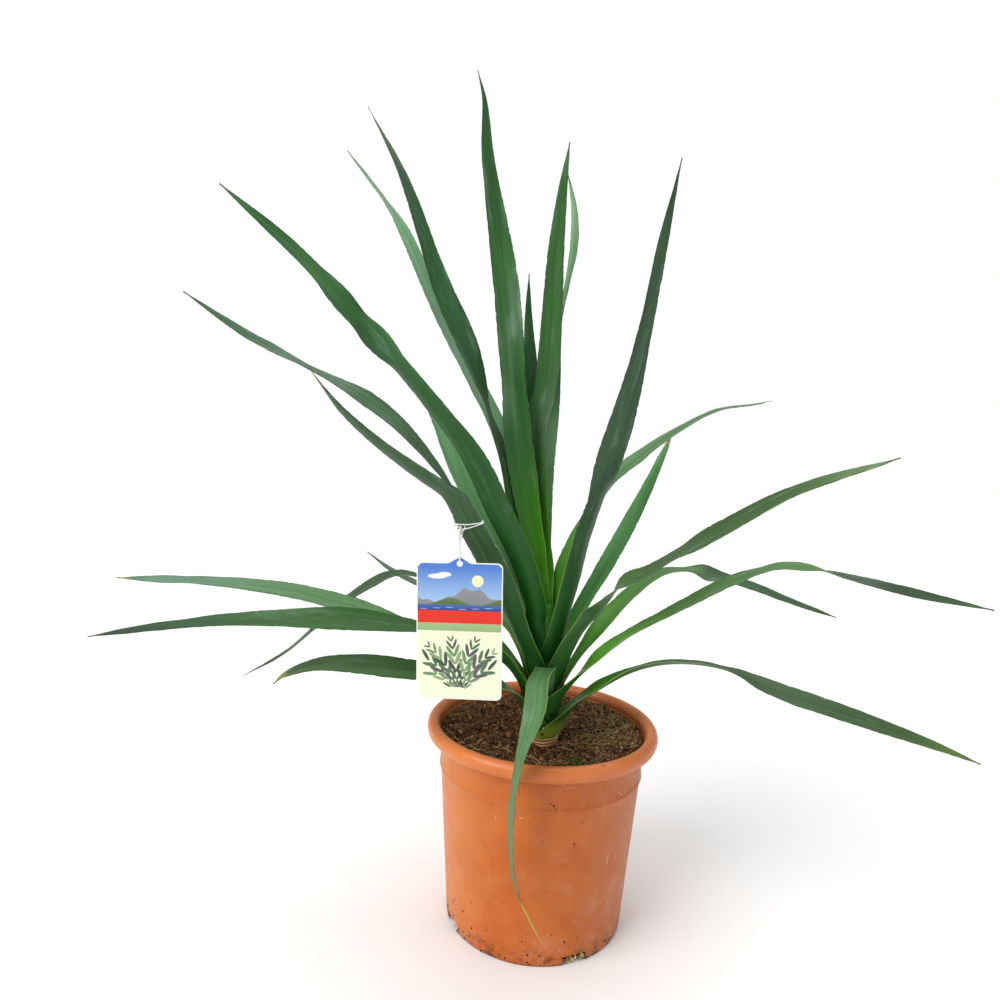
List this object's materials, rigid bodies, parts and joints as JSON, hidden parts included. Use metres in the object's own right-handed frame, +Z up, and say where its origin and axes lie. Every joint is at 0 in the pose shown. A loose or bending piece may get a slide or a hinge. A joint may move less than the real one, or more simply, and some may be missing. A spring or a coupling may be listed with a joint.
{
  "type": "potted dragon tree",
  "caption": "Young dragon tree with long arching sword-shaped leaves on a short ringed stem, in a round tapered nursery pot with a rolled rim, filled with soil and hung with a plant tag.",
  "frame": {"origin": "centre of the pot's underside, on the surface it stands on", "axes": "+Z up along the pot's axis; the leaf that hangs over the front of the rim and the tag are on the -Y side"},
  "size_m": [0.6431, 0.4128, 0.7077],
  "materials": {
    "pot": "terracotta-coloured, satin",
    "soil": "loose damp peat mix",
    "stem": "smooth young bark",
    "leaf": "green leaf, soft sheen",
    "tag": "printed card",
    "string": "thin white string"
  },
  "bodies": {
    "root": {"pot": "pot", "soil": "soil", "stem": "stem", "leaf_01": "leaf", "leaf_02": "leaf", "leaf_03": "leaf", "leaf_04": "leaf", "leaf_05": "leaf", "leaf_06": "leaf", "leaf_07": "leaf", "leaf_08": "leaf", "leaf_09": "leaf", "leaf_10": "leaf", "leaf_11": "leaf", "leaf_12": "leaf", "leaf_13": "leaf", "leaf_14": "leaf", "leaf_15": "leaf", "leaf_16": "leaf", "leaf_17": "leaf", "leaf_18": "leaf", "leaf_19": "leaf", "leaf_20": "leaf", "leaf_21": "leaf", "leaf_22": "leaf", "leaf_23": "leaf", "leaf_24": "leaf", "leaf_25": "leaf", "tag": "tag", "tag_tie": "string"}
  },
  "joints": []
}
